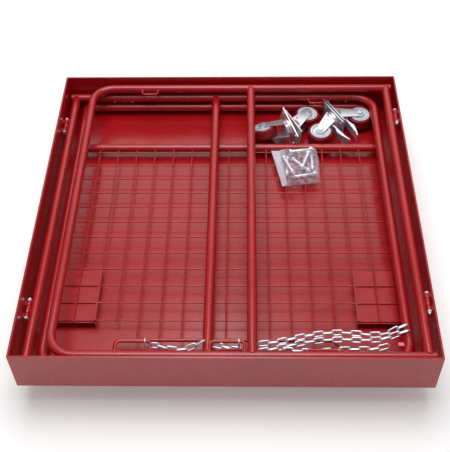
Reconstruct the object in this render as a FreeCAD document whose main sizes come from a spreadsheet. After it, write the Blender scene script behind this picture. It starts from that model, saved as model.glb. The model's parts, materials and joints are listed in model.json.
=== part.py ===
import FreeCAD, Part
import Sketcher
import math
import os
import re

# A folding work platform for a fork-lift, folded flat for shipping.  A square tray deck stands on two
# fork pockets.  Two tubular side rails and a mesh back guard are hinged inside its toe boards and lie
# over each other: the back guard lowest, the left rail on it and the right rail on top.  Its casters,
# chains and a bag of bolts travel in the tray.
# Millimetres, +Z up, +Y towards the mast side (the back), origin under the middle at floor level.

SIZES = [
    ("deck_side", 914), ("board_height", 114), ("board_thick", 4), ("floor_thick", 3),
    ("pocket_height", 66), ("pocket_width", 200), ("pocket_sheet", 5), ("pocket_centre", 240),
    ("pocket_length", 820), ("pocket_flange", 12), ("pocket_back_gap", 10),
    ("tube_dia", 22), ("tube_wall", 1.5), ("bend_size", 55), ("leg_overrun", 14),
    ("guard_level", 27), ("stack_pitch", 32.5),
    ("barrel_wall_gap", 2), ("leg_wall_gap", 17), ("guard_side_gap", 45),
    ("right_far_gap", 75), ("left_far_gap", 52), ("guard_far_gap", 17),
    ("right_mid", 374), ("left_mid", 395), ("caster_bay", 146),
    ("pin_dia", 6), ("pin_out_gap", 1.4), ("pin_up_gap", 1), ("barrel_dia", 11.2), ("hinge_fit", 0.05),
    ("hinge_station", 304), ("knuckle_width", 20), ("ear_width", 12), ("ear_gap", 0.6),
    ("head_flats", 10), ("head_thick", 4), ("nut_thick", 5), ("web_thick", 6),
    ("loop_rod", 7), ("loop_width", 75), ("loop_depth", 36), ("loop_bend", 9),
    ("right_loop_gap", 5.5), ("right_loop_high", 630), ("left_loop_low", 452), ("left_loop_high", 646),
    ("staple_rod", 5), ("staple_width", 43), ("staple_depth", 24), ("staple_bend", 8),
    ("right_staple", 655), ("left_staple_reach", 698),
    ("wire_dia", 3.5), ("mesh_pitch", 50), ("mesh_drop", 4), ("mesh_rod", 8), ("mesh_rod_from_top", 81),
    ("mesh_rod_half", 248), ("mesh_rod_bend", 14),
    ("tool_box_tall", 150), ("tool_box_deep", 14), ("tool_box_sheet", 1.5), ("tool_box_lip", 4),
    ("tool_box_from_top", 131), ("tool_box_inner", 300),
    ("wheel_dia", 70), ("wheel_width", 30), ("hub_dia", 54), ("axle_dia", 8), ("caster_height", 62),
    ("caster_trail", 32), ("plate_long", 95), ("plate_wide", 60), ("plate_thick", 3),
    ("plate_hole_long", 75), ("plate_hole_wide", 42), ("plate_hole_dia", 9), ("caster_inset", 52), ("pad_thick", 6),
    ("fork_sheet", 2.5), ("fork_gap", 34), ("race_dia", 48), ("seal_dia", 50),
    ("brake_pin_dia", 5), ("brake_pin_out", 19), ("brake_pin_down", 22),
    ("link_wire", 3.6), ("link_length", 29), ("link_width", 14), ("link_play", 0.9),
    ("ring_width", 18), ("ring_length", 27), ("ring_wire", 3.5),
    ("bag_long", 132), ("bag_wide", 136), ("bag_tall", 34), ("bag_film", 0.6), ("bag_left", 111),
    ("bolt_dia", 8), ("bolt_length", 60), ("bolt_flats", 13), ("bolt_head", 5.5),
    ("pin_out", "=tube_dia / 2 + pin_out_gap"), ("pin_up", "=tube_dia / 2 + pin_up_gap"),
    ("rail_wall_gap", "=pin_out + barrel_dia / 2 + barrel_wall_gap"),
    ("cross_tube", "=caster_bay + tube_dia"), ("left_staple", "=left_staple_reach - tube_dia"),
    ("right_loop_low", "=right_mid + tube_dia / 2 + loop_width / 2 + right_loop_gap"),
]

doc = FreeCAD.newDocument("folding_platform")
sheet = doc.addObject("Spreadsheet::Sheet", "Sizes")
for row, (alias, value) in enumerate(SIZES, start=1):
    sheet.set(f"A{row}", alias)
    sheet.set(f"B{row}", str(value))
    sheet.setAlias(f"B{row}", alias)
doc.recompute()

WORDS = re.compile(r"\b[a-z]+(?:_[a-z]+)+\b")
X_AXIS, Y_AXIS, Z_AXIS = FreeCAD.Vector(1, 0, 0), FreeCAD.Vector(0, 1, 0), FreeCAD.Vector(0, 0, 1)
UPRIGHT = FreeCAD.Rotation()
ALONG = {"x": FreeCAD.Rotation(Y_AXIS, 90), "y": FreeCAD.Rotation(X_AXIS, -90), "z": UPRIGHT}
sub_parts = []


def size(alias):
    """The value of a driving dimension."""
    return float(sheet.get(alias))


def bound(formula):
    """A formula in the sheet's words, as FreeCAD's expressions want it."""
    return WORDS.sub(lambda word: "Sizes." + word.group(0), str(formula))


def bind(item, **formulas):
    """Bind properties of an object to formulas."""
    for name, formula in formulas.items():
        item.setExpression(name, bound(formula))


def place(item, at, turn=UPRIGHT):
    """Turn an object and bind its place to three formulas."""
    item.Placement = FreeCAD.Placement(FreeCAD.Vector(), turn)
    for axis, formula in zip("xyz", at):
        item.setExpression(f".Placement.Base.{axis}", bound(formula))
    return item


def keep(item, label):
    """Register an object as a sub-part of its own."""
    item.Label = label
    sub_parts.append(item)
    return item


def box(at, length, width, height, turn=UPRIGHT):
    item = doc.addObject("Part::Box", "Block")
    bind(item, Length=length, Width=width, Height=height)
    return place(item, at, turn)


def cylinder(at, along, diameter, height):
    item = doc.addObject("Part::Cylinder", "Round")
    bind(item, Radius=f"({diameter}) / 2", Height=height)
    return place(item, at, ALONG[along])


def hexagon(at, along, flats, height):
    item = doc.addObject("Part::Prism", "Hexagon")
    item.Polygon = 6
    bind(item, Circumradius=f"({flats}) / 2 / cos(30)", Height=height)
    return place(item, at, ALONG[along])


def bend(at, turn_deg, centre_size, diameter):
    """A quarter ring lying flat, from turn_deg on."""
    item = doc.addObject("Part::Torus", "Bend")
    item.Angle3 = 90
    bind(item, Radius1=centre_size, Radius2=f"({diameter}) / 2")
    return place(item, at, FreeCAD.Rotation(Z_AXIS, turn_deg))


def fuse(items):
    item = doc.addObject("Part::MultiFuse", "Joined")
    item.Shapes = items
    return item


def cut(base, tool):
    item = doc.addObject("Part::Cut", "Trimmed")
    item.Base, item.Tool = base, tool
    return item


def group(items):
    """Separate solids that share one node."""
    item = doc.addObject("Part::Compound", "Group")
    item.Links = items
    return item


def profile(plane, corners, depth=None, holes=(), revolve=None):
    """A body from one straight-sided outline, each corner bound to two formulas: padded or revolved."""
    body = doc.addObject("PartDesign::Body", "Body")
    sketch = body.newObject("Sketcher::SketchObject", "Outline")
    origin = [item for item in body.Origin.OriginFeatures if item.Role == plane][0]
    sketch.AttachmentSupport = [(origin, "")]
    sketch.MapMode = "FlatFace"
    count = len(corners)
    for index in range(count):
        start, end = FreeCAD.Vector(index, index % 2, 0), FreeCAD.Vector(index + 1, 1, 0)
        sketch.addGeometry(Part.LineSegment(start, end), False)
    for index in range(count):
        sketch.addConstraint(Sketcher.Constraint("Coincident", index, 2, (index + 1) % count, 1))
    for index, (across, up) in enumerate(corners):
        for kind, formula in (("DistanceX", across), ("DistanceY", up)):
            spot = sketch.addConstraint(Sketcher.Constraint(kind, -1, 1, index, 1, 1.0))
            sketch.setExpression(f"Constraints[{spot}]", bound(formula))
    for across, up, diameter in holes:
        number = sketch.addGeometry(Part.Circle(FreeCAD.Vector(1, 1, 0), Z_AXIS, 1), False)
        for kind, formula in (("DistanceX", across), ("DistanceY", up)):
            spot = sketch.addConstraint(Sketcher.Constraint(kind, -1, 1, number, 3, 1.0))
            sketch.setExpression(f"Constraints[{spot}]", bound(formula))
        spot = sketch.addConstraint(Sketcher.Constraint("Diameter", number, 1.0))
        sketch.setExpression(f"Constraints[{spot}]", bound(diameter))
    if revolve:
        feature = body.newObject("PartDesign::Revolution", "Turned")
        feature.Profile = sketch
        feature.ReferenceAxis = (sketch, [revolve])
        feature.Angle = 360
    else:
        feature = body.newObject("PartDesign::Pad", "Pad")
        feature.Profile = sketch
        feature.Midplane = True
        feature.setExpression("Length", bound(depth))
    body.Tip = feature
    return body


def u_shape(start, depth, width, bend_size, diameter):
    """A round bar bent to a U that lies flat: two legs along +X from start, and a bar across at depth."""
    legs = [cylinder((start, f"{side} * ({width}) / 2", 0), "x", diameter,
                     f"({depth}) - ({start}) - ({bend_size})") for side in (-1, 1)]
    corners = [bend((f"({depth}) - ({bend_size})", f"{side} * (({width}) / 2 - ({bend_size}))", 0),
                    0 if side > 0 else -90, bend_size, diameter) for side in (-1, 1)]
    bar = cylinder((depth, f"-({width}) / 2 + ({bend_size})", 0), "y", diameter,
                   f"({width}) - 2 * ({bend_size})")
    return fuse(legs + corners + [bar])


# ---- deck tray and fork pockets ----------------------------------------------------------------------

HALF = "deck_side / 2"
SIGNS = [(x, y) for x in (-1, 1) for y in (-1, 1)]
keep(box((f"-{HALF}", f"-{HALF}", "pocket_height"), "deck_side", "deck_side", "floor_thick"), "deck_floor")

# Corner pads under the floor, each with the four bolt holes of a caster plate.
pads = []
for sx, sy in SIGNS:
    pad = profile("XY_Plane", [
        ("-plate_long / 2", "-plate_wide / 2"), ("plate_long / 2", "-plate_wide / 2"),
        ("plate_long / 2", "plate_wide / 2"), ("-plate_long / 2", "plate_wide / 2")], "pad_thick",
        [(f"{hx} * plate_hole_long / 2", f"{hy} * plate_hole_wide / 2", "plate_hole_dia") for hx, hy in SIGNS])
    pads.append(place(pad, (f"{sx} * ({HALF} - caster_inset)", f"{sy} * ({HALF} - caster_inset)",
                            "pocket_height - pad_thick / 2")))
keep(group(pads), "caster_pads")

DECK_TOP = "pocket_height + floor_thick"
INNER = "deck_side / 2 - board_thick"
keep(box((f"-{HALF}", f"-{HALF}", DECK_TOP), "deck_side", "board_thick", "board_height"),
     "toe_board_front")
keep(box((f"-{HALF}", INNER, DECK_TOP), "deck_side", "board_thick", "board_height"), "toe_board_back")
for name, left_edge in (("left", f"-{HALF}"), ("right", INNER)):
    keep(box((left_edge, f"-({INNER})", DECK_TOP), "board_thick", "deck_side - 2 * board_thick",
             "board_height"), f"toe_board_{name}")

for name, side in (("left", -1), ("right", 1)):
    inner = "pocket_width / 2 - pocket_sheet"
    outer = "pocket_width / 2"
    flange = "pocket_width / 2 + pocket_flange"
    top = "pocket_height"
    under = "pocket_height - pocket_sheet"
    channel = profile("XZ_Plane", [
        (f"-({outer})", 0), (outer, 0), (outer, under), (flange, under), (flange, top), (inner, top),
        (inner, "pocket_sheet"), (f"-({inner})", "pocket_sheet"), (f"-({inner})", top),
        (f"-({flange})", top), (f"-({flange})", under), (f"-({outer})", under)], "pocket_length")
    keep(channel, f"fork_pocket_{name}")
    place(channel, (f"{side} * pocket_centre", f"({HALF}) - pocket_length / 2 - pocket_back_gap", 0))

# ---- folding frames: each is drawn lying along +X from its hinge tube, then set in the tray ----------

SPAN = "deck_side - 2 * board_thick - rail_wall_gap"
RIGHT_REACH = f"({SPAN} - right_far_gap)"
LEFT_REACH = f"({SPAN} - left_far_gap)"
GUARD_REACH = f"({SPAN} - guard_far_gap)"
FRAMES = {
    "right_rail": {
        "at": ("deck_side / 2 - board_thick - rail_wall_gap", 0, "pocket_height + guard_level + 2 * stack_pitch"),
        "turn": 180, "reach": RIGHT_REACH, "width": "deck_side - 2 * board_thick - 2 * leg_wall_gap"},
    "left_rail": {
        "at": ("-(deck_side / 2 - board_thick - rail_wall_gap)", 0, "pocket_height + guard_level + stack_pitch"),
        "turn": 0, "reach": LEFT_REACH, "width": "deck_side - 2 * board_thick - 2 * leg_wall_gap"},
    "back_guard": {
        "at": (0, "deck_side / 2 - board_thick - rail_wall_gap", "pocket_height + guard_level"),
        "turn": -90, "reach": GUARD_REACH,
        "width": "deck_side - 2 * board_thick - 2 * guard_side_gap"},
}


def settle(item, frame, label):
    """Set a piece drawn in its frame's own axes into the tray."""
    where = FRAMES[frame]
    place(item, where["at"], FreeCAD.Rotation(Z_AXIS, where["turn"]))
    return keep(item, label)


def frame_outline(frame):
    """The solid bar that the frame's hoop is bent from, used to shape what is welded to it."""
    where = FRAMES[frame]
    return u_shape("-leg_overrun", where["reach"], where["width"], "bend_size", "tube_dia")


def cross_bar(frame, from_hinge, label):
    """A tube across the frame, coped on to its two legs."""
    width = FRAMES[frame]["width"]
    solid = cylinder((from_hinge, f"-({width}) / 2", 0), "y", "tube_dia", width)
    bore = cylinder((from_hinge, f"-({width}) / 2", 0), "y", "tube_dia - 2 * tube_wall", width)
    return settle(cut(cut(solid, bore), frame_outline(frame)), frame, label)


def rod_loop(frame, leg_side, from_hinge, rod, width, depth, bend_size):
    """A small bent rod welded to the inside of a leg."""
    leg = f"{leg_side} * ({FRAMES[frame]['width']}) / 2"
    loop = u_shape(0, depth, width, bend_size, rod)
    place(loop, (from_hinge, leg, 0), FreeCAD.Rotation(Z_AXIS, -90 * leg_side))
    return cut(loop, frame_outline(frame))


def knuckles(frame):
    """The two hinge barrels welded to the frame's hinge tube, one at each station."""
    pieces = []
    for side in (-1, 1):
        middle = f"{side} * hinge_station - knuckle_width / 2"
        barrel = cylinder(("-pin_out", middle, "pin_up"), "y", "barrel_dia", "knuckle_width")
        web = box(("-pin_out", middle, "pin_up - web_thick / 2 * 1.414"), "pin_out * 1.414", "knuckle_width",
                  "web_thick", FreeCAD.Rotation(Y_AXIS, 45))
        bore = cylinder(("-pin_out", middle, "pin_up"), "y", "pin_dia + 2 * hinge_fit", "knuckle_width")
        tube = cylinder((0, middle, 0), "y", "tube_dia", "knuckle_width")
        pieces.append(cut(cut(fuse([barrel, web]), bore), tube))
    return settle(group(pieces), frame, f"{frame}_knuckles")


for frame in FRAMES:
    where = FRAMES[frame]
    hoop_bore = u_shape("-leg_overrun + tube_wall", where["reach"], where["width"], "bend_size",
                        "tube_dia - 2 * tube_wall")
    settle(cut(frame_outline(frame), hoop_bore), frame, f"{frame}_hoop")
    cross_bar(frame, 0, f"{frame}_hinge_tube")
    knuckles(frame)

cross_bar("right_rail", "right_mid", "right_rail_mid_bar")
cross_bar("left_rail", "left_mid", "left_rail_mid_bar")
cross_bar("back_guard", "cross_tube", "back_guard_cross_tube")

for side_name, front in (("right", 1), ("left", -1)):
    frame = f"{side_name}_rail"
    loops = [rod_loop(frame, front, f"{side_name}_loop_{height}", "loop_rod", "loop_width", "loop_depth",
                      "loop_bend") for height in ("low", "high")]
    settle(group(loops), frame, f"{frame}_chain_loops")
    staple = rod_loop(frame, -front, f"{side_name}_staple", "staple_rod", "staple_width", "staple_depth",
                      "staple_bend")
    settle(staple, frame, f"{frame}_lock_staple")

# ---- wall hinges: ears on the toe boards, bolts and nuts ----------------------------------------------

ears, bolts, nuts = [], [], []
EAR_START = "knuckle_width / 2 + ear_gap"
STACK_END = "knuckle_width / 2 + ear_gap + ear_width"
for frame in FRAMES:
    where = FRAMES[frame]
    turn = FreeCAD.Rotation(Z_AXIS, where["turn"])
    frame_ears, frame_bolts, frame_nuts = [], [], []
    for side in (-1, 1):
        middle = f"{side} * hinge_station"
        for low in (f"{middle} + {EAR_START}", f"{middle} - ({STACK_END})"):
            barrel = cylinder(("-pin_out", low, "pin_up"), "y", "barrel_dia", "ear_width")
            plate = box(("-rail_wall_gap", low, "pin_up - web_thick / 2"), "rail_wall_gap - pin_out",
                        "ear_width", "web_thick")
            bore = cylinder(("-pin_out", low, "pin_up"), "y", "pin_dia + hinge_fit", "ear_width")
            frame_ears.append(cut(fuse([barrel, plate]), bore))
        shank = cylinder(("-pin_out", f"{middle} - ({STACK_END})", "pin_up"), "y", "pin_dia",
                         f"2 * ({STACK_END}) + nut_thick + 4")
        head = hexagon(("-pin_out", f"{middle} - ({STACK_END}) - head_thick", "pin_up"), "y", "head_flats",
                       "head_thick")
        frame_bolts.append(fuse([shank, head]))
        nut = hexagon(("-pin_out", f"{middle} + {STACK_END}", "pin_up"), "y", "head_flats", "nut_thick")
        nut_bore = cylinder(("-pin_out", f"{middle} + {STACK_END}", "pin_up"), "y",
                            "pin_dia + hinge_fit", "nut_thick")
        frame_nuts.append(cut(nut, nut_bore))
    for pieces, found in ((ears, frame_ears), (bolts, frame_bolts), (nuts, frame_nuts)):
        pieces.append(place(group(found), where["at"], turn))
keep(group(ears), "wall_hinge_ears")
keep(group(bolts), "hinge_bolts")
keep(group(nuts), "hinge_nuts")

# ---- back guard mesh and tool boxes -------------------------------------------------------------------


def code_part(label, shape, base):
    """A sub-part whose shape is worked out in code from the sheet's sizes."""
    item = doc.addObject("Part::Feature", label)
    item.Shape = shape
    item.Placement = FreeCAD.Placement(base, UPRIGHT)
    return keep(item, label)


guard_hinge_y = size("deck_side") / 2 - size("board_thick") - size("rail_wall_gap")
guard_z = size("pocket_height") + size("guard_level")
span = size("deck_side") - 2 * size("board_thick") - size("rail_wall_gap")
guard_reach = span - size("guard_far_gap")
guard_half = size("deck_side") / 2 - size("board_thick") - size("guard_side_gap")
guard_base = FreeCAD.Vector(0, guard_hinge_y, guard_z)
tube_r = size("tube_dia") / 2
wire_r = size("wire_dia") / 2
mesh_start = -size("cross_tube") - tube_r
mesh_end = -guard_reach + size("mesh_rod_from_top")
box_mouth = -guard_reach + size("tool_box_from_top")
box_inner = size("tool_box_inner")
wire_half = guard_half - tube_r - 0.1
upright_z = -size("mesh_drop") + 2 * wire_r + 0.1
pitch = size("mesh_pitch")

uprights = []
for index in range(-int(wire_half // pitch), int(wire_half // pitch) + 1):
    x = index * pitch
    last = box_mouth if abs(x) > size("mesh_rod_half") + wire_r else mesh_end + size("mesh_rod") / 2
    uprights.append(Part.makeCylinder(wire_r, mesh_start - last, FreeCAD.Vector(x, last, upright_z), Y_AXIS))
code_part("mesh_upright_wires", Part.makeCompound(uprights), guard_base)

rows = []
y = mesh_start - 2 * wire_r
while y > box_mouth - wire_r:
    rows.append(Part.makeCylinder(wire_r, 2 * wire_half, FreeCAD.Vector(-wire_half, y, -size("mesh_drop")),
                                  X_AXIS))
    y -= pitch
code_part("mesh_cross_wires", Part.makeCompound(rows), guard_base)

hand_rod = u_shape(f"{GUARD_REACH} - mesh_rod_from_top", GUARD_REACH, "2 * mesh_rod_half", "mesh_rod_bend",
                   "mesh_rod")
place(hand_rod, (f"2 * {GUARD_REACH} - mesh_rod_from_top", 0, 0), FreeCAD.Rotation(Z_AXIS, 180))
settle(cut(hand_rod, frame_outline("back_guard")), "back_guard", "mesh_hand_rod")

box_top = -size("mesh_drop") - wire_r - 0.1
lip = size("tool_box_lip")
lip_z = upright_z + wire_r + 0.1
for name, side in (("left", -1), ("right", 1)):
    sheet_thick = size("tool_box_sheet")
    wide = wire_half - 1 - box_inner
    tall, deep = size("tool_box_tall"), size("tool_box_deep")
    corner = FreeCAD.Vector(box_inner if side > 0 else -box_inner - wide, box_mouth, box_top - deep)
    shell = Part.makeBox(wide, tall, deep, corner)
    hollow = Part.makeBox(wide - 2 * sheet_thick, tall, deep - 2 * sheet_thick,
                          corner + FreeCAD.Vector(sheet_thick, -sheet_thick, sheet_thick))
    strip = Part.makeBox(lip, tall, lip, FreeCAD.Vector(side * box_inner - lip / 2, box_mouth, lip_z))
    peg = Part.makeCylinder(lip / 2, 3 * lip, FreeCAD.Vector(side * (box_inner - lip / 2), box_mouth + tall / 3,
                                                            lip_z + lip / 2), X_AXIS * -side)
    code_part(f"tool_box_{name}", Part.makeCompound([shell.cut(hollow), strip.fuse(peg)]), guard_base)

# ---- casters: drawn standing under their plate, then laid in the tray ---------------------------------

DECK_Z = size("pocket_height") + size("floor_thick")
INNER_HALF = size("deck_side") / 2 - size("board_thick")
GUARD_CORNER = FreeCAD.Vector(INNER_HALF - size("guard_side_gap") - tube_r,
                              INNER_HALF - size("rail_wall_gap") - tube_r, DECK_Z)
# "at" is measured from the back right corner inside the folded guard's tubes, on the tray's floor.
CASTERS = {
    "a": {"at": (-234, -103, 50), "up": (0.907, 0.42, 0.045), "axle": (-0.18, 0.38, 0.906), "plate_turn": 45,
          "brake": False},
    "b": {"at": (-223, -90, 30.9), "up": (-0.907, -0.42, 0.083), "axle": (0, 0, -1), "plate_turn": 0,
          "brake": False},
    "c": {"at": (-108.5, -52.2, 30.9), "up": (0.875, 0.484, 0.02), "axle": (0, 0, -1), "plate_turn": 0,
          "brake": True},
    "d": {"at": (-105, -45.2, 30.9), "up": (-0.875, -0.484, 0.02), "axle": (0, 0, 1), "plate_turn": 0,
          "brake": True},
}


def caster_turn(lay):
    """The rotation that points the swivel axis along up and the wheel's axle as near axle as it can."""
    up = FreeCAD.Vector(*lay["up"]).normalize()
    trail = FreeCAD.Vector(*lay["axle"]).cross(up).normalize()
    return FreeCAD.Rotation(trail, up.cross(trail), up, "ZXY")


def caster_piece(item, lay, label, extra=0):
    turn = caster_turn(lay)
    if extra:
        turn = turn.multiply(FreeCAD.Rotation(Z_AXIS, extra))
    item.Placement = FreeCAD.Placement(GUARD_CORNER + FreeCAD.Vector(*lay["at"]), turn)
    return keep(item, label) if label else item


axles, seals = [], []
for name, lay in CASTERS.items():
    plate_blank = profile("XY_Plane", [
        ("-plate_long / 2", "-plate_wide / 2"), ("plate_long / 2", "-plate_wide / 2"),
        ("plate_long / 2", "plate_wide / 2"), ("-plate_long / 2", "plate_wide / 2")], "plate_thick",
        [(f"{sx} * plate_hole_long / 2", f"{sy} * plate_hole_wide / 2", "plate_hole_dia")
         for sx, sy in SIGNS])
    race = cylinder((0, 0, "-plate_thick / 2 - 5"), "z", "race_dia", 5)
    caster_piece(fuse([plate_blank, race]), lay, f"caster_{name}_plate", lay["plate_turn"])

    seal = group([cylinder((0, 0, "-plate_thick / 2 - 7.4"), "z", "seal_dia", 2)])
    seals.append(caster_piece(seal, lay, None))

    dome = doc.addObject("Part::Cone", "Dome")
    bind(dome, Radius1="race_dia / 2 - 3", Radius2="race_dia / 2", Height=7)
    place(dome, (0, 0, "-plate_thick / 2 - 14.6"))
    legs = []
    for side in (-1, 1):
        leg = profile("XZ_Plane", [
            ("-race_dia / 2 + 5", "-plate_thick / 2 - 8"), ("race_dia / 2 - 1", "-plate_thick / 2 - 8"),
            ("caster_trail + 12", "-caster_height + 6"), ("caster_trail + 12", "-caster_height - 5"),
            ("caster_trail + 6", "-caster_height - 11"), ("caster_trail - 6", "-caster_height - 11"),
            ("caster_trail - 12", "-caster_height - 4")], "fork_sheet", [
            ("caster_trail", "-caster_height", "axle_dia"),
            ("brake_pin_out", "-brake_pin_down", "brake_pin_dia")])
        legs.append(place(leg, (0, f"{side} * (fork_gap + fork_sheet) / 2", 0)))
    fork = fuse([dome] + legs)
    caster_piece(fork, lay, f"caster_{name}_fork")

    tread = profile("XY_Plane", [
        ("-wheel_width / 2 + 1", "hub_dia / 2"), ("-wheel_width / 2", "wheel_dia / 2 - 4"),
        ("-wheel_width / 2 + 2.5", "wheel_dia / 2 - 1"), ("-wheel_width / 2 + 7", "wheel_dia / 2"),
        ("wheel_width / 2 - 7", "wheel_dia / 2"), ("wheel_width / 2 - 2.5", "wheel_dia / 2 - 1"),
        ("wheel_width / 2", "wheel_dia / 2 - 4"), ("wheel_width / 2 - 1", "hub_dia / 2")], revolve="H_Axis")
    hub = profile("XY_Plane", [
        ("-wheel_width / 2 - 1", "axle_dia / 2 + hinge_fit"), ("-wheel_width / 2 - 1", "hub_dia / 6"),
        ("-wheel_width / 2 + 3", "hub_dia / 6 + 1"), ("-wheel_width / 2 + 3", "hub_dia / 2 - 7"),
        ("-wheel_width / 2 + 1", "hub_dia / 2 - 6"), ("-wheel_width / 2 + 1", "hub_dia / 2"),
        ("wheel_width / 2 - 1", "hub_dia / 2"), ("wheel_width / 2 - 1", "hub_dia / 2 - 6"),
        ("wheel_width / 2 - 3", "hub_dia / 2 - 7"), ("wheel_width / 2 - 3", "hub_dia / 6 + 1"),
        ("wheel_width / 2 + 1", "hub_dia / 6"), ("wheel_width / 2 + 1", "axle_dia / 2 + hinge_fit")],
        revolve="H_Axis")
    for piece, part_name in ((tread, "tread"), (hub, "hub")):
        shell = group([piece])
        place(piece, ("caster_trail", 0, "-caster_height"), FreeCAD.Rotation(Z_AXIS, 90))
        caster_piece(shell, lay, f"caster_{name}_{part_name}")

    axle = fuse([
        cylinder(("caster_trail", "-fork_gap / 2 - fork_sheet", "-caster_height"), "y", "axle_dia",
                 "fork_gap + 2 * fork_sheet"),
        hexagon(("caster_trail", "-fork_gap / 2 - fork_sheet - 4", "-caster_height"), "y", "bolt_flats", 4),
        hexagon(("caster_trail", "fork_gap / 2 + fork_sheet", "-caster_height"), "y", "bolt_flats", 5)])
    axles.append(caster_piece(axle, lay, None))

    if lay["brake"]:
        pedal = profile("XZ_Plane", [
            ("brake_pin_out - 5", "-brake_pin_down - 5"), ("brake_pin_out - 5", "-brake_pin_down + 5"),
            ("brake_pin_out + 18", "-brake_pin_down + 6"), ("brake_pin_out + 62", "-brake_pin_down + 9"),
            ("brake_pin_out + 80", "-brake_pin_down + 13"), ("brake_pin_out + 80", "-brake_pin_down + 10"),
            ("brake_pin_out + 60", "-brake_pin_down + 2"), ("brake_pin_out + 40", "-brake_pin_down - 3"),
            ("brake_pin_out + 20", "-brake_pin_down + 2"), ("brake_pin_out + 5", "-brake_pin_down - 4")],
            "fork_gap - 10", [("brake_pin_out", "-brake_pin_down", "brake_pin_dia + 2 * hinge_fit")])
        caster_piece(group([pedal]), lay, f"caster_{name}_brake_pedal")
        pin = cylinder(("brake_pin_out", "-fork_gap / 2 - fork_sheet", "-brake_pin_down"), "y", "brake_pin_dia",
                       "fork_gap + 2 * fork_sheet")
        axles.append(caster_piece(group([pin]), lay, None))
keep(group(axles), "caster_axle_bolts")
keep(group(seals), "caster_dust_seals")

# ---- chains: welded links, each link laid between two points of its run -------------------------------

# Points are measured from the tray's inner front right corner; upwards, from the floor's underside, and
# for the loose piece and the front run from the underside of the left rail's tubes.
FRONT_CHAIN_SHORT = [(-618, 51, 80), (-599, 53, 76), (-577, 49, 69), (-553, 47, 66),
                     (-529, 51, 68), (-507, 60, 76), (-485, 70, 86)]
LOOSE_PIECE = [(-480, 76, -3.5), (-461, 73, -5.5), (-441, 66, -5.5), (-421, 63, -5.5), (-400, 64, -5.5)]
UPPER_RUN = [(-379, 79, 43), (-339, 84, 43), (-297, 95, 43), (-252, 105, 43), (-207, 110, 43),
             (-163, 106, 46), (-122, 95, 54), (-93, 95, 65), (-61, 107, 79), (-40, 109, 79)]
LOWER_RUN = [(-379, 59, 43), (-330, 70, 43), (-281, 83, 43), (-232, 90, 43), (-188, 91, 44),
             (-146, 85, 50), (-108, 81, 60), (-78, 87, 71), (-59, 92, 79), (-40, 92, 79)]
FRONT_RUN = [(-326, 63, -3.5), (-287, 59, -3.5), (-248, 58, -3.5), (-208, 63, -3.5), (-171, 65, -3.5),
             (-133, 63, -1.5), (-103, 65, 5.5), (-81, 73, 15.5)]


def welded_link(length, width, wire):
    """One oval link, long along X and flat in XY, standing at the origin."""
    half_turn = (width - wire) / 2
    straight = (length - width) / 2
    pieces = []
    for side in (-1, 1):
        ring = Part.makeTorus(half_turn, wire / 2, FreeCAD.Vector(), Z_AXIS, -180, 180, 180)
        ring.rotate(FreeCAD.Vector(), Z_AXIS, -90 if side > 0 else 90)
        ring.translate(FreeCAD.Vector(side * straight, 0, 0))
        pieces.append(ring)
        pieces.append(Part.makeCylinder(wire / 2, 2 * straight,
                                        FreeCAD.Vector(-straight, side * half_turn, 0), X_AXIS))
    return pieces[0].fuse(pieces[1:]).removeSplitter()


def even_steps(points, step):
    """Points a fixed distance apart along a run of straight stretches."""
    spots = [FreeCAD.Vector(*point) for point in points]
    found, here, index = [spots[0]], spots[0], 1
    while index < len(spots):
        gap = spots[index].sub(here).Length
        if gap < step:
            index += 1
            continue
        ahead, behind = spots[index], spots[index - 1]
        low, high = 0.0, 1.0
        for _ in range(40):
            share = (low + high) / 2
            spot = behind + (ahead - behind) * share
            if spot.sub(found[-1]).Length < step:
                low = share
            else:
                high = share
        here = behind + (ahead - behind) * high
        found.append(here)
    return found


def chain(points, first_roll):
    """Links along a run, each turned a quarter from the one before."""
    link_step = size("link_length") - 2 * size("link_wire") - size("link_play")
    stops = even_steps(points, link_step)
    links = []
    for index in range(len(stops) - 1):
        run = stops[index + 1] - stops[index]
        middle = (stops[index] + stops[index + 1]) * 0.5
        heading = math.degrees(math.atan2(run.y, run.x))
        rise = math.degrees(math.asin(run.z / run.Length))
        turn = FreeCAD.Rotation(Z_AXIS, heading)
        turn = turn.multiply(FreeCAD.Rotation(Y_AXIS, -rise))
        turn = turn.multiply(FreeCAD.Rotation(X_AXIS, first_roll + 90 * (index % 2)))
        link = welded_link(size("link_length"), size("link_width"), size("link_wire"))
        link.Placement = FreeCAD.Placement(middle, turn)
        links.append(link)
    return links


deck_base = FreeCAD.Vector(0, 0, size("pocket_height"))
front_right = FreeCAD.Vector(INNER_HALF, -INNER_HALF, size("pocket_height"))
code_part("chain_upper_links", Part.makeCompound(chain(UPPER_RUN, 40) + chain(LOWER_RUN, 40)), front_right)
under_left_rail = FreeCAD.Vector(0, 0, size("guard_level") + size("stack_pitch") - tube_r)
code_part("chain_lower_links", Part.makeCompound(chain(FRONT_RUN, 40) + chain(LOOSE_PIECE, 40)),
          front_right + under_left_rail)
code_part("chain_short_links", Part.makeCompound(chain(FRONT_CHAIN_SHORT, 40)), front_right)

loop_corner = size("loop_width") / 2
loop_bar_y = -(size("deck_side") / 2 - size("board_thick") - size("leg_wall_gap")) + size("loop_depth")
right_hinge_x = size("deck_side") / 2 - size("board_thick") - size("rail_wall_gap")
ring_z = size("guard_level") + 2 * size("stack_pitch")
rings = []
for height in ("low", "high"):
    ring = welded_link(size("ring_length"), size("ring_width"), size("ring_wire"))
    x = right_hinge_x - size(f"right_loop_{height}") + loop_corner - size("loop_bend") - 3
    hang = size("ring_length") / 2 - size("ring_wire") - size("loop_rod") / 2 - 0.3
    ring.Placement = FreeCAD.Placement(FreeCAD.Vector(x, loop_bar_y, ring_z - hang),
                                       FreeCAD.Rotation(Y_AXIS, 90))
    rings.append(ring)
code_part("chain_end_rings", Part.makeCompound(rings), deck_base)

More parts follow.
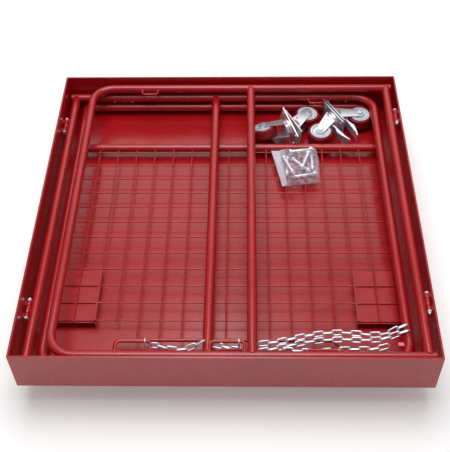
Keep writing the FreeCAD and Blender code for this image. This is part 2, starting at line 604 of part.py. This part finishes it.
code_part("chain_tag", Part.makeBox(13, 9, 7, FreeCAD.Vector(-79, 55, 68)), front_right)

# ---- bag of bolts --------------------------------------------------------------------------------------

bag_back = guard_hinge_y - size("cross_tube") - tube_r - 2
bag_floor = size("guard_level") + upright_z + wire_r + 0.5
bag_corner = FreeCAD.Vector(size("bag_left"), bag_back - size("bag_wide"), bag_floor)
film = size("bag_film")
bag_shell = Part.makeBox(size("bag_long"), size("bag_wide"), size("bag_tall"), bag_corner)
bag_shell = bag_shell.makeFillet(6, [edge for edge in bag_shell.Edges
                                     if abs(edge.Vertexes[0].Z - edge.Vertexes[1].Z) > 1])
bag_hollow = Part.makeBox(size("bag_long") - 2 * film, size("bag_wide") - 2 * film,
                          size("bag_tall") - 2 * film, bag_corner + FreeCAD.Vector(film, film, film))
bag_hollow = bag_hollow.makeFillet(5, [edge for edge in bag_hollow.Edges
                                       if abs(edge.Vertexes[0].Z - edge.Vertexes[1].Z) > 1])
code_part("bolt_bag", bag_shell.cut(bag_hollow), deck_base)

# Each bolt: where its head stands from the bag's front left corner, and its heading in degrees.
LOWER_BOLTS = [(44, 100, -88), (58, 30, 7), (108, 120, -84), (60, 97, -52)]
UPPER_BOLTS = [(52, 103, 20), (80, 48, 66), (38, 86, -78)]


def loose_bolt():
    """A hexagon-head bolt lying along X from its head at the origin, with its nut run on."""
    flats, head = size("bolt_flats"), size("bolt_head")
    corners = [FreeCAD.Vector(0, flats / math.sqrt(3) * math.cos(math.radians(60 * turn)),
                              flats / math.sqrt(3) * math.sin(math.radians(60 * turn))) for turn in range(7)]
    hexagon_face = Part.Face(Part.makePolygon(corners))
    shank = Part.makeCylinder(size("bolt_dia") / 2, size("bolt_length"), FreeCAD.Vector(head, 0, 0), X_AXIS)
    head_solid = hexagon_face.extrude(FreeCAD.Vector(head, 0, 0))
    return head_solid.fuse(shank)


bolt_corner = size("bolt_flats") / math.sqrt(3)
lower_z = film + bolt_corner + 0.2
bag_bolts = []
for layer, height in ((LOWER_BOLTS, lower_z), (UPPER_BOLTS, lower_z + 2 * bolt_corner + 0.2)):
    for x, y, heading in layer:
        bolt = loose_bolt()
        bolt.Placement = FreeCAD.Placement(bag_corner + FreeCAD.Vector(x, y, height),
                                           FreeCAD.Rotation(Z_AXIS, heading))
        bag_bolts.append(bolt)
code_part("bagged_bolts", Part.makeCompound(bag_bolts), deck_base)

# ---- check and write ----------------------------------------------------------------------------------

doc.recompute()
for item in doc.Objects:
    if "Invalid" in item.State or "Error" in item.State:
        raise RuntimeError(f"{item.Label} ({item.TypeId}) failed: {item.State}")
for item in sub_parts:
    if item.Shape.isNull() or not item.Shape.isValid():
        raise RuntimeError(f"{item.Label} has no sound shape")
labels = [item.Label for item in sub_parts]
if len(set(labels)) != len(labels):
    raise RuntimeError("two sub-parts share a label")

os.makedirs("parts", exist_ok=True)
for item in sub_parts:
    item.Shape.exportStep(os.path.join("parts", item.Label + ".step"))
print(len(sub_parts), "sub-parts written")
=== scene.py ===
import json
import math
import random

import bmesh
import bpy
from mathutils import Matrix, Vector, noise


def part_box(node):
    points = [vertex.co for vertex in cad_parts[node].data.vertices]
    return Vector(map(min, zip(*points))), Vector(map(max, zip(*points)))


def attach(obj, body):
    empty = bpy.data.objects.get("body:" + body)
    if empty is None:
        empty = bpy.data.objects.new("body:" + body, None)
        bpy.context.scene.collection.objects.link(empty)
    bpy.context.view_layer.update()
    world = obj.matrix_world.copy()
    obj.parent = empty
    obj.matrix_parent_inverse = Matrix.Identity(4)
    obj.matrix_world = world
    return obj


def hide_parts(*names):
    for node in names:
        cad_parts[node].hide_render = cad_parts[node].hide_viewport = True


# A folding work platform for a fork-lift, folded flat: a glossy red powder-coated tray with two tubular
# rails and a mesh guard lying in it, zinc chains, four loose casters and a clear bag of bolts.

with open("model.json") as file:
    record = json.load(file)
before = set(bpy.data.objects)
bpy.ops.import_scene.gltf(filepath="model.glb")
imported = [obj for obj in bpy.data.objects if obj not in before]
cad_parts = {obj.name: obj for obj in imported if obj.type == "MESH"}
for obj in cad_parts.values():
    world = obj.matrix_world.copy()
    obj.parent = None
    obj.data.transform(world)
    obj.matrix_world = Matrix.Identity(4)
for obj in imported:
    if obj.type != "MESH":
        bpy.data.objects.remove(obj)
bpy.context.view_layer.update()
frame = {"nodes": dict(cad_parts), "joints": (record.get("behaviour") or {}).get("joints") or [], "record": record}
nodes = frame["nodes"]
random.seed(7)
MM = 0.001


# ---- small helpers -----------------------------------------------------------------------------------


def linear(code):
    """A hex sRGB colour as linear RGBA."""
    out = []
    for i in (1, 3, 5):
        c = int(code[i:i + 2], 16) / 255
        out.append(c / 12.92 if c <= 0.04045 else ((c + 0.055) / 1.055) ** 2.4)
    return (*out, 1)


def add(tree, kind, inputs=None, **settings):
    """A shader node with its settings and inputs; an input is a value or another node's socket."""
    item = tree.nodes.new(kind)
    for key, value in settings.items():
        setattr(item, key, value)
    for key, value in (inputs or {}).items():
        if isinstance(value, bpy.types.NodeSocket):
            tree.links.new(value, item.inputs[key])
        else:
            item.inputs[key].default_value = value
    return item


def surface(name, **values):
    """A new material; returns it with its tree, its Principled node and its Object coordinates."""
    material = bpy.data.materials.new(name)
    material.use_nodes = True
    tree = material.node_tree
    shader = tree.nodes["Principled BSDF"]
    for key, value in values.items():
        shader.inputs[key.replace("_", " ")].default_value = value
    here = add(tree, "ShaderNodeTexCoord").outputs["Object"]
    return material, tree, shader, here


def grain(tree, here, scale, detail=3.0, roughness=0.55, stretch=None):
    """The value of a noise texture, in cells per metre, stretched if asked."""
    if stretch:
        here = add(tree, "ShaderNodeMapping", {"Vector": here, "Scale": stretch}).outputs[0]
    return add(tree, "ShaderNodeTexNoise", {"Vector": here, "Scale": scale, "Detail": detail,
                                            "Roughness": roughness}).outputs["Fac"]


def ramp(tree, value, low, high, from_low, from_high):
    """The value run from low to high as it passes from from_low to from_high."""
    return add(tree, "ShaderNodeMapRange", {"Value": value, "From Min": from_low, "From Max": from_high,
                                            "To Min": low, "To Max": high}).outputs[0]


def tint(tree, value, first, second):
    """A colour between two, by a value from 0 to 1."""
    return add(tree, "ShaderNodeMix", {"Factor": value, "A": linear(first), "B": linear(second)},
               data_type="RGBA").outputs["Result"]


def bump(tree, shader, height, strength, distance):
    """Relief in a shader's normal, from a height."""
    item = add(tree, "ShaderNodeBump", {"Height": height, "Strength": strength, "Distance": distance})
    tree.links.new(item.outputs[0], shader.inputs["Normal"])


# ---- studio values -----------------------------------------------------------------------------------

FLOOR_ROUGHNESS, FLOOR_GLOW, SKY_GLOW = 0.8, 0.18, 0.3
TOP_BOX = {"place": (-0.1, 0.2, 2.7), "target": (0, 0.1, 0), "size": (1.9, 1.9), "power": 59}
BACK_BOX = {"place": (0.1, 2.5, 2.2), "target": (0, 0, 0.1), "size": (3.0, 1.3), "power": 16}
CAMERA_AT, CAMERA_LENS, CAMERA_SENSOR = (0.0434, -1.3884, 1.6816), 66.8, 36

# ---- materials ---------------------------------------------------------------------------------------


def powder_coat():
    """Gloss red polyester powder coat on steel: even colour, a fine orange peel, and faint handling
    smears that only the reflections show."""
    material, tree, shader, here = surface("red_powder_coat", Specular_IOR_Level=0.5, Coat_Weight=0.25,
                                           Coat_Roughness=0.12)
    cloud = grain(tree, here, 6.0)
    tree.links.new(tint(tree, ramp(tree, cloud, 0, 1, 0.35, 0.65), "#A90F16", "#A00C13"),
                   shader.inputs["Base Color"])
    smear = grain(tree, here, 22.0, 5.0, 0.7, (1, 2.5, 1))
    tree.links.new(ramp(tree, smear, 0.27, 0.35, 0.42, 0.68), shader.inputs["Roughness"])
    bump(tree, shader, grain(tree, here, 650.0, 2.0), 0.06, 0.0003)
    return material


def zinc(name, light, dark, rough_low, rough_high, metal=1.0):
    """Bright electroplated zinc: silver with a faint blue cast, slightly cloudy from the bath."""
    material, tree, shader, here = surface(name, Metallic=metal)
    cloud = grain(tree, here, 160.0, 4.0)
    tree.links.new(tint(tree, ramp(tree, cloud, 0, 1, 0.35, 0.65), light, dark),
                   shader.inputs["Base Color"])
    tree.links.new(ramp(tree, cloud, rough_low, rough_high, 0.3, 0.7), shader.inputs["Roughness"])
    bump(tree, shader, grain(tree, here, 400.0, 2.0), 0.03, 0.0002)
    return material


def polyurethane():
    """Cast dark red polyurethane tyre: satin, with fine turning lines from the mould."""
    material, tree, shader, here = surface("red_polyurethane", Specular_IOR_Level=0.5,
                                           Subsurface_Weight=0.08, Subsurface_Scale=0.004)
    cloud = grain(tree, here, 90.0)
    tree.links.new(tint(tree, ramp(tree, cloud, 0, 1, 0.3, 0.7), "#8E0B20", "#7A0719"),
                   shader.inputs["Base Color"])
    tree.links.new(ramp(tree, cloud, 0.3, 0.42, 0.3, 0.7), shader.inputs["Roughness"])
    bump(tree, shader, grain(tree, here, 1200.0, 2.0), 0.1, 0.0002)
    return material


def moulded(name, light, dark, roughness):
    """Injection-moulded plastic: even, with a slight bloom and a fine matt grain."""
    material, tree, shader, here = surface(name, Specular_IOR_Level=0.5)
    cloud = grain(tree, here, 120.0)
    tree.links.new(tint(tree, ramp(tree, cloud, 0, 1, 0.3, 0.7), light, dark),
                   shader.inputs["Base Color"])
    tree.links.new(ramp(tree, cloud, roughness - 0.04, roughness + 0.06, 0.3, 0.7),
                   shader.inputs["Roughness"])
    bump(tree, shader, grain(tree, here, 1500.0, 2.0), 0.12, 0.0002)
    return material


def film():
    """Clear polyethylene film: almost invisible where flat, milky and glinting where it creases."""
    material, tree, shader, here = surface("clear_film", Specular_IOR_Level=0.6, Roughness=0.16)
    shader.inputs["Base Color"].default_value = linear("#EFEAFA")
    facing = add(tree, "ShaderNodeLayerWeight", {"Blend": 0.35}).outputs["Facing"]
    across = add(tree, "ShaderNodeSeparateXYZ", {0: here}).outputs["X"]
    bag_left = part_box("bolt_bag")[0][0]
    doubled = ramp(tree, across, 0.34, 0.0, bag_left + 0.024, bag_left + 0.042)
    crease = ramp(tree, grain(tree, here, 110.0, 5.0, 0.7), 0.02, 0.30, 0.48, 0.72)
    haze = add(tree, "ShaderNodeMath", {0: ramp(tree, facing, 0.02, 0.42, 0.3, 0.95), 1: crease},
               operation="ADD", use_clamp=True).outputs[0]
    milky = add(tree, "ShaderNodeMath", {0: haze, 1: doubled}, operation="ADD", use_clamp=True).outputs[0]
    tree.links.new(milky, shader.inputs["Alpha"])
    bump(tree, shader, grain(tree, here, 260.0, 4.0, 0.65), 0.5, 0.0012)
    return material


def paper_white(name, code, roughness):
    """A smooth studio floor, slightly uneven so that it doesn't look synthetic."""
    material, tree, shader, here = surface(name, Roughness=roughness)
    cloud = grain(tree, here, 1.5)
    tree.links.new(tint(tree, cloud, code, "#FAFAFA"), shader.inputs["Base Color"])
    shader.inputs["Emission Color"].default_value = (1, 1, 1, 1)
    shader.inputs["Emission Strength"].default_value = FLOOR_GLOW
    return material


RED = powder_coat()
LOOKS = {
    "red_powder_coat": RED,
    "zinc_plate": zinc("zinc_plate", "#EDF2F8", "#D6DCE5", 0.28, 0.42, 0.85),
    "bright_zinc_hub": zinc("bright_zinc_hub", "#E6EDF1", "#D3DCE3", 0.3, 0.42, 0.2),
    "red_polyurethane": polyurethane(),
    "orange_seal": moulded("orange_seal", "#E8623A", "#D9532E", 0.35),
    "coral_plastic_tag": moulded("coral_plastic_tag", "#F26A7C", "#E85B6F", 0.4),
    "clear_film": film(),
}
BOLT_ZINC = zinc("bolt_zinc", "#F3F7FB", "#DEE6EE", 0.3, 0.42, 0.55)
SLOT_OF = {row["node"]: row["material_slot"] for row in frame["record"]["subparts"]}
for node_name, item in nodes.items():
    look = LOOKS[SLOT_OF[node_name]]
    if not item.material_slots:
        item.data.materials.append(look)
    for place in item.material_slots:
        place.material = look

# ---- edges of the sheet metal: folded and cut edges catch a thin line of light -----------------------

# Bevel widths in millimetres, by a word of the node's name; the first word that fits holds.
BEVELS = {"toe_board": 0.5, "deck_floor": 0.6, "fork_pocket": 1.2, "tool_box": 0.4,
          "wall_hinge_ears": 0.5, "hinge_bolts": 0.5, "hinge_nuts": 0.5, "plate": 0.5,
          "_fork": 0.5, "brake_pedal": 0.6,
          "caster_axle_bolts": 0.6, "knuckles": 0.4, "tag": 1.0}
for node_name, item in nodes.items():
    width = next((value for key, value in BEVELS.items() if key in node_name), None)
    if width is None:
        continue
    weld = item.modifiers.new("weld", "WELD")
    weld.merge_threshold = 0.00001
    edge = item.modifiers.new("edges", "BEVEL")
    edge.width = width * MM
    edge.segments = 2
    edge.limit_method = "ANGLE"
    edge.angle_limit = math.radians(40)
    edge.harden_normals = True


# ---- measures from the frame -------------------------------------------------------------------------


def lumps(node):
    """The separate solids of a node, each a list of its points."""
    mesh = bmesh.new()
    mesh.from_mesh(nodes[node].data)
    bmesh.ops.remove_doubles(mesh, verts=mesh.verts, dist=0.00001)
    seen, found = set(), []
    for seed in mesh.verts:
        if seed.index in seen:
            continue
        seen.add(seed.index)
        queue, points = [seed], []
        while queue:
            vert = queue.pop()
            points.append(vert.co.copy())
            for edge in vert.link_edges:
                other = edge.other_vert(vert)
                if other.index not in seen:
                    seen.add(other.index)
                    queue.append(other)
        found.append(points)
    mesh.free()
    return found


def extent(points):
    """The low and high corners of the box around some points."""
    return (Vector([min(p[i] for p in points) for i in range(3)]),
            Vector([max(p[i] for p in points) for i in range(3)]))


def middle(node):
    """The middle of a node's box."""
    low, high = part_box(node)
    return (Vector(low) + Vector(high)) / 2


# ---- pieces ------------------------------------------------------------------------------------------


def fresh():
    """The piece that the last operator made, with nothing else selected."""
    return bpy.context.object


def start():
    """Select nothing, so that the next operator works on its own piece alone."""
    bpy.ops.object.select_all(action="DESELECT")


def finish_piece(item, name, body, look, smooth=True):
    """Apply a piece's place, name it, and give it its finish and its body."""
    bpy.ops.object.transform_apply(location=True, rotation=True, scale=True)
    item.name = name
    item.data.name = name
    item.data.materials.clear()
    item.data.materials.append(look)
    if smooth:
        bpy.ops.object.shade_smooth_by_angle(angle=math.radians(40))
    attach(item, body)
    return item


def basis(z_axis, x_axis):
    """A rotation matrix with those two axes."""
    z_axis = Vector(z_axis).normalized()
    x_axis = Vector(x_axis).normalized()
    return Matrix((x_axis, z_axis.cross(x_axis), z_axis)).transposed().to_4x4()


# Sizes of the frames' tubes and rods, and of the welds on them. Widths of spot welds are in millimetres.
TUBE_R = 11 * MM
LOOP_ROD_R, STAPLE_ROD_R = 3.5 * MM, 2.5 * MM
TEE_WELD, LOOP_WELD, WIRE_WELD = 2.0, 5.2, 3.4
SPOT_FLAT, WIRE_WELD_FLAT = 0.55, 0.9
LOOP_WELD_IN, LOOP_WELD_UP, WIRE_WELD_BACK = 1.0 * MM, 1.5 * MM, 0.5 * MM
RIPPLES, RIPPLE_LOW, RIPPLE_HIGH = 14, 0.82, 0.22


def tee_weld(name, body, centre, bar, leg):
    """The fillet weld where a bar's end is coped on to a leg: a saddle of overlapping weld ripples.
    centre is where the two axes meet, bar points from there along the bar, leg along the leg."""
    start()
    bpy.ops.mesh.primitive_torus_add(major_radius=TUBE_R, minor_radius=TEE_WELD * MM, major_segments=112,
                                     minor_segments=10)
    item = fresh()
    for vert in item.data.vertices:
        point = vert.co
        around = math.atan2(point.y, point.x)
        ring = Vector((math.cos(around), math.sin(around), 0)) * TUBE_R
        wander = 0.4 * math.sin(5 * around)
        ripple = RIPPLE_LOW + RIPPLE_HIGH * abs(math.sin(RIPPLES * around + wander))
        spread = (point - ring) * ripple
        saddle = math.sqrt(max(TUBE_R ** 2 - (ring.y * 0.98) ** 2, 0))
        vert.co = ring + spread + Vector((0, 0, saddle))
    item.matrix_world = Matrix.Translation(centre) @ basis(bar, leg)
    return finish_piece(item, name, body, RED)


def spot_weld(name, body, spots, size, flat):
    """Small domed tack welds, joined as one piece."""
    made = []
    for spot in spots:
        start()
        bpy.ops.mesh.primitive_uv_sphere_add(segments=20, ring_count=10, radius=1, location=spot)
        item = fresh()
        item.scale = (size * MM * random.uniform(0.85, 1.15), size * MM * random.uniform(0.85, 1.15),
                      size * MM * flat)
        made.append(item)
    start()
    for item in made:
        item.select_set(True)
    bpy.context.view_layer.objects.active = made[0]
    bpy.ops.object.join()
    item = fresh()
    return finish_piece(item, name, body, RED)


FRAME_BARS = {
    "right_rail": ("right_rail_hinge_tube", "right_rail_mid_bar"),
    "left_rail": ("left_rail_hinge_tube", "left_rail_mid_bar"),
    "back_guard": ("back_guard_hinge_tube", "back_guard_cross_tube"),
}
for body, bars in FRAME_BARS.items():
    low, high = (Vector(v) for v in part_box(f"{body}_hoop"))
    for bar_name in bars:
        centre = middle(bar_name)
        for side, word in ((-1, "low"), (1, "high")):
            if body == "back_guard":
                leg_x = (low.x + TUBE_R) if side < 0 else (high.x - TUBE_R)
                spot = Vector((leg_x, centre.y, centre.z))
                tee_weld(f"{bar_name}_weld_{word}", body, spot, (-side, 0, 0), (0, 1, 0))
            else:
                leg_y = (low.y + TUBE_R) if side < 0 else (high.y - TUBE_R)
                spot = Vector((centre.x, leg_y, centre.z))
                tee_weld(f"{bar_name}_weld_{word}", body, spot, (0, -side, 0), (1, 0, 0))

for body in ("right_rail", "left_rail"):
    spots = []
    for node, rod in ((f"{body}_chain_loops", LOOP_ROD_R), (f"{body}_lock_staple", STAPLE_ROD_R)):
        low, high = (Vector(v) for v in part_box(node))
        at_front = low.y < 0
        edge_y = low.y + LOOP_WELD_IN if at_front else high.y - LOOP_WELD_IN
        for points in lumps(node):
            first, last = extent(points)
            for x in (first.x + rod, last.x - rod):
                spots.append(Vector((x, edge_y, (first.z + last.z) / 2 + LOOP_WELD_UP)))
    spot_weld(f"{body}_loop_welds", body, spots, LOOP_WELD, SPOT_FLAT)

mesh_spots = []
for points in lumps("mesh_upright_wires"):
    first, last = extent(points)
    centre = (first + last) / 2
    mesh_spots.append(Vector((centre.x, last.y - WIRE_WELD_BACK, centre.z)))
spot_weld("mesh_tube_welds", "back_guard", mesh_spots, WIRE_WELD, WIRE_WELD_FLAT)

# ---- vertical corner welds of the tray ---------------------------------------------------------------

CORNER_WELD_R = 2.6 * MM
INSET_X, INSET_Y, SHORT_BY = 2.2 * MM, 4.6 * MM, 6 * MM
board_low, board_high = (Vector(v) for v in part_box("toe_board_front"))
back_low, back_high = (Vector(v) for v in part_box("toe_board_back"))
for corner, (x, y) in enumerate(((board_low.x, board_low.y), (board_high.x, board_low.y),
                                 (back_low.x, back_high.y), (back_high.x, back_high.y))):
    start()
    place_x = x + (INSET_X if x < 0 else -INSET_X)
    place_y = y + (INSET_Y if y < 0 else -INSET_Y)
    bpy.ops.mesh.primitive_cylinder_add(vertices=16, radius=CORNER_WELD_R, depth=1.0,
                                        location=(place_x, place_y, 0), end_fill_type="NGON")
    item = fresh()
    item.scale.z = board_high.z - board_low.z - SHORT_BY
    item.location.z = (board_low.z + board_high.z) / 2
    finish_piece(item, f"tray_corner_weld_{corner}", "deck", RED)

# ---- raised rings of the wheel hubs, on both faces ---------------------------------------------------

HUB_RINGS = ((22.5, 1.0), (13.0, 0.9))
for joint in frame["joints"]:
    if not joint["child"].endswith("_wheel"):
        continue
    letter = joint["child"].split("_")[1]
    axle = Vector(joint["axis"]).normalized()
    centre = Vector(joint["pos_m"])
    reach = [(vert.co - centre).dot(axle) for vert in nodes[f"caster_{letter}_hub"].data.vertices]
    for word, face in (("near", min(reach)), ("far", max(reach))):
        for number, (radius, rod) in enumerate(HUB_RINGS):
            start()
            bpy.ops.mesh.primitive_torus_add(major_radius=radius * MM, minor_radius=rod * MM,
                                             major_segments=72, minor_segments=10)
            item = fresh()
            turn = axle.to_track_quat("Z", "Y").to_matrix().to_4x4()
            item.matrix_world = Matrix.Translation(centre + axle * face) @ turn
            finish_piece(item, f"caster_{letter}_hub_ring_{word}_{number}", joint["child"],
                         LOOKS["bright_zinc_hub"])

# ---- bag of bolts ------------------------------------------------------------------------------------


def threaded_bolt():
    """A hexagon bolt along +X from the outer face of its head, with a rolled thread and its nut."""
    start()
    flats, head, shank_r, length, pitch = 13 * MM, 5.5 * MM, 4 * MM, 60 * MM, 1.25 * MM
    nut_thick, nut_from_end, chamfer_size, end_taper = 6 * MM, 8 * MM, 0.7 * MM, 1.5 * MM
    along_x = (0, math.radians(90), 0)
    bpy.ops.mesh.primitive_cylinder_add(vertices=6, radius=flats / math.sqrt(3), depth=head,
                                        location=(head / 2, 0, 0), rotation=along_x)
    cap = fresh()
    chamfer = cap.modifiers.new("chamfer", "BEVEL")
    chamfer.width, chamfer.segments = chamfer_size, 2
    bpy.ops.object.modifier_apply(modifier="chamfer")
    bpy.ops.object.transform_apply(location=True, rotation=True, scale=True)
    start()
    steps = int(length / pitch) * 4
    bpy.ops.mesh.primitive_cylinder_add(vertices=24, radius=shank_r, depth=length,
                                        location=(head + length / 2, 0, 0), rotation=along_x)
    rod = fresh()
    bpy.ops.object.transform_apply(location=True, rotation=True, scale=True)
    cuts = bmesh.new()
    cuts.from_mesh(rod.data)
    for step in range(1, steps):
        bmesh.ops.bisect_plane(cuts, geom=cuts.verts[:] + cuts.edges[:] + cuts.faces[:],
                               plane_co=(head + length * step / steps, 0, 0), plane_no=(1, 0, 0))
    plain = head + length * 0.5
    for vert in cuts.verts:
        if vert.co.x > plain:
            turn = math.atan2(vert.co.z, vert.co.y) / (2 * math.pi)
            wave = abs(((vert.co.x / pitch + turn) % 1) * 2 - 1)
            shrink = 1 - 0.13 * wave
            if vert.co.x > head + length - end_taper:
                shrink = 0.84
            vert.co.y *= shrink
            vert.co.z *= shrink
    cuts.to_mesh(rod.data)
    cuts.free()
    start()
    bpy.ops.mesh.primitive_cylinder_add(vertices=6, radius=flats / math.sqrt(3), depth=nut_thick,
                                        location=(head + length - nut_from_end, 0, 0), rotation=along_x)
    nut = fresh()
    chamfer = nut.modifiers.new("chamfer", "BEVEL")
    chamfer.width, chamfer.segments = chamfer_size, 2
    bpy.ops.object.modifier_apply(modifier="chamfer")
    bpy.ops.object.transform_apply(location=True, rotation=True, scale=True)
    start()
    for item in (cap, rod, nut):
        item.select_set(True)
    bpy.context.view_layer.objects.active = cap
    bpy.ops.object.join()
    return fresh()


model_bolt = threaded_bolt()
bolt_lumps = lumps("bagged_bolts")
for index, points in enumerate(bolt_lumps):
    pairs = ((a, b) for a in points[::3] for b in points[::5])
    ends = max(pairs, key=lambda pair: (pair[0] - pair[1]).length)
    low, high = extent(points)
    centre = sum(points, Vector()) / len(points)
    direction = Vector((ends[1].x - ends[0].x, ends[1].y - ends[0].y, 0)).normalized()
    along = [(p - centre).dot(direction) for p in points]
    across = Vector((-direction.y, direction.x, 0))
    wide_end = max(zip(along, points), key=lambda pair: abs((pair[1] - centre).dot(across)))[0]
    if wide_end > 0:
        direction = -direction
        along = [-value for value in along]
    origin = centre + direction * min(along)
    mid = [(p - centre).dot(across) for p in points]
    origin += across * ((max(mid) + min(mid)) / 2)
    origin.z = (low.z + high.z) / 2
    start()
    item = model_bolt.copy()
    item.data = model_bolt.data.copy()
    bpy.context.collection.objects.link(item)
    item.select_set(True)
    bpy.context.view_layer.objects.active = item
    item.matrix_world = Matrix.Translation(origin) @ basis((0, 0, 1), direction)
    finish_piece(item, f"bag_bolt_{index}", "back_guard", BOLT_ZINC)
    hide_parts("bagged_bolts")
bpy.data.objects.remove(model_bolt)

bag_low, bag_high = (Vector(v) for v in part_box("bolt_bag"))
FILM_THICK, TOP_LIFT, UNDER_LIFT, UNDER_SAG = 0.08 * MM, 1.2 * MM, 0.6 * MM, 0.4 * MM
ZIP_R, ZIP_LIFT, ZIP_STEPS = 0.7 * MM, 1.4 * MM, 60
PINCH, FULL_FROM, FULL_OVER = 0.055, 0.2, 0.045


def bag_outline(u, v):
    """A point of the bag's crooked outline: u across from the zip side, v from its mouth end forwards."""
    width, depth = bag_high.x - bag_low.x, bag_high.y - bag_low.y
    left = bag_low.x + width * (0.02 + 0.20 * v)
    right = bag_low.x + width * (0.945 + 0.05 * v + 0.02 * math.sin(5 * v))
    back = bag_high.y - 1.5 * MM - depth * 0.03 * math.sin(3 * u)
    front = bag_low.y + depth * (0.015 + 0.10 * u)
    return left + (right - left) * u, back + (front - back) * v


def bag_height(u, v):
    """How far the film stands above its underside: pinched at the edges, tented over the bolts."""
    edge = min(u, 1 - u, v, 1 - v)
    rise = 1 - math.exp(-max(edge, 0) / PINCH)
    full = 1 / (1 + math.exp(-(u - FULL_FROM) / FULL_OVER))
    room = bag_high.z - bag_low.z
    crumple = noise.noise(Vector((u * 5, v * 5, 1.7))) * 0.12
    crumple += noise.noise(Vector((u * 14, v * 11, 4.1))) * 0.07
    ridge = 0.05 * abs(noise.noise(Vector((u * 24, v * 9, 9.3))))
    return room * rise * ((0.72 + crumple) * full + (0.16 + crumple * 0.6 + ridge) * (1 - full))


start()
bpy.ops.mesh.primitive_grid_add(x_subdivisions=120, y_subdivisions=120, size=2)
bag_top = fresh()
for vert in bag_top.data.vertices:
    u, v = (vert.co.x + 1) / 2, (1 - vert.co.y) / 2
    x, y = bag_outline(u, v)
    lift = min(bag_height(u, v), bag_high.z - bag_low.z - 2 * MM)
    vert.co = (x, y, bag_low.z + TOP_LIFT + lift)
finish_piece(bag_top, "bag_film_top", "back_guard", LOOKS["clear_film"])
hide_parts("bolt_bag")
start()
bpy.ops.mesh.primitive_grid_add(x_subdivisions=60, y_subdivisions=60, size=2)
bag_under = fresh()
for vert in bag_under.data.vertices:
    u, v = (vert.co.x + 1) / 2, (1 - vert.co.y) / 2
    x, y = bag_outline(u, v)
    sag = UNDER_SAG * noise.noise(Vector((u * 9, v * 9, 0)))
    vert.co = (x, y, bag_low.z + UNDER_LIFT + sag)
finish_piece(bag_under, "bag_film_under", "back_guard", LOOKS["clear_film"])
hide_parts("bolt_bag")
for item in (bag_top, bag_under):
    thick = item.modifiers.new("film", "SOLIDIFY")
    thick.thickness = FILM_THICK

zip_look = moulded("zip_strip", "#EDE6EE", "#E2DAE4", 0.3)
for number, at_u in enumerate((0.085, 0.12)):
    start()
    bpy.ops.mesh.primitive_cylinder_add(vertices=12, radius=ZIP_R, depth=2, end_fill_type="NGON")
    item = fresh()
    cuts = bmesh.new()
    cuts.from_mesh(item.data)
    for step in range(1, ZIP_STEPS):
        bmesh.ops.bisect_plane(cuts, geom=cuts.verts[:] + cuts.edges[:] + cuts.faces[:],
                               plane_co=(0, 0, -1 + 2 * step / ZIP_STEPS), plane_no=(0, 0, 1))
    for vert in cuts.verts:
        v = (vert.co.z + 1) / 2 * 0.97 + 0.015
        x, y = bag_outline(at_u, v)
        lift = bag_low.z + ZIP_LIFT + bag_height(at_u, v)
        vert.co = (x + vert.co.x, y, lift + vert.co.y)
    cuts.to_mesh(item.data)
    cuts.free()
    finish_piece(item, f"bag_zip_{number}", "back_guard", zip_look)

# ---- stage, light and camera -------------------------------------------------------------------------

start()
bpy.ops.mesh.primitive_plane_add(size=30, location=(0, 0, 0))
floor = fresh()
floor.name = "studio_floor"
floor.data.materials.append(paper_white("studio_floor", "#F4F4F4", FLOOR_ROUGHNESS))

world = bpy.data.worlds.new("studio")
bpy.context.scene.world = world
world.use_nodes = True
world.node_tree.nodes["Background"].inputs["Color"].default_value = (1, 1, 1, 1)
world.node_tree.nodes["Background"].inputs["Strength"].default_value = SKY_GLOW


def soft_box(name, place, target, size, power):
    """A rectangular studio light, in watts, turned to its target."""
    start()
    bpy.ops.object.light_add(type="AREA", location=place)
    lamp = fresh()
    lamp.name = name
    lamp.data.shape = "RECTANGLE"
    lamp.data.size, lamp.data.size_y = size
    lamp.data.energy = power
    lamp.rotation_euler = (Vector(target) - Vector(place)).to_track_quat("-Z", "Y").to_euler()
    return lamp


soft_box("top_box", **TOP_BOX)
soft_box("back_box", **BACK_BOX)

scene = bpy.context.scene
scene.view_settings.view_transform = "Standard"
scene.view_settings.look = "None"
start()
bpy.ops.object.camera_add()
camera = fresh()
camera.name = "camera"
camera.data.lens = CAMERA_LENS
camera.data.sensor_width = CAMERA_SENSOR
RIGHT = (0.99971, 0.01621, -0.01764)
UP = (-0.00073, 0.75676, 0.65369)
BACKWARD = (0.02395, -0.65349, 0.75655)
turn = Matrix((RIGHT, UP, BACKWARD)).transposed().to_4x4()
camera.matrix_world = Matrix.Translation(CAMERA_AT) @ turn
scene.camera = camera
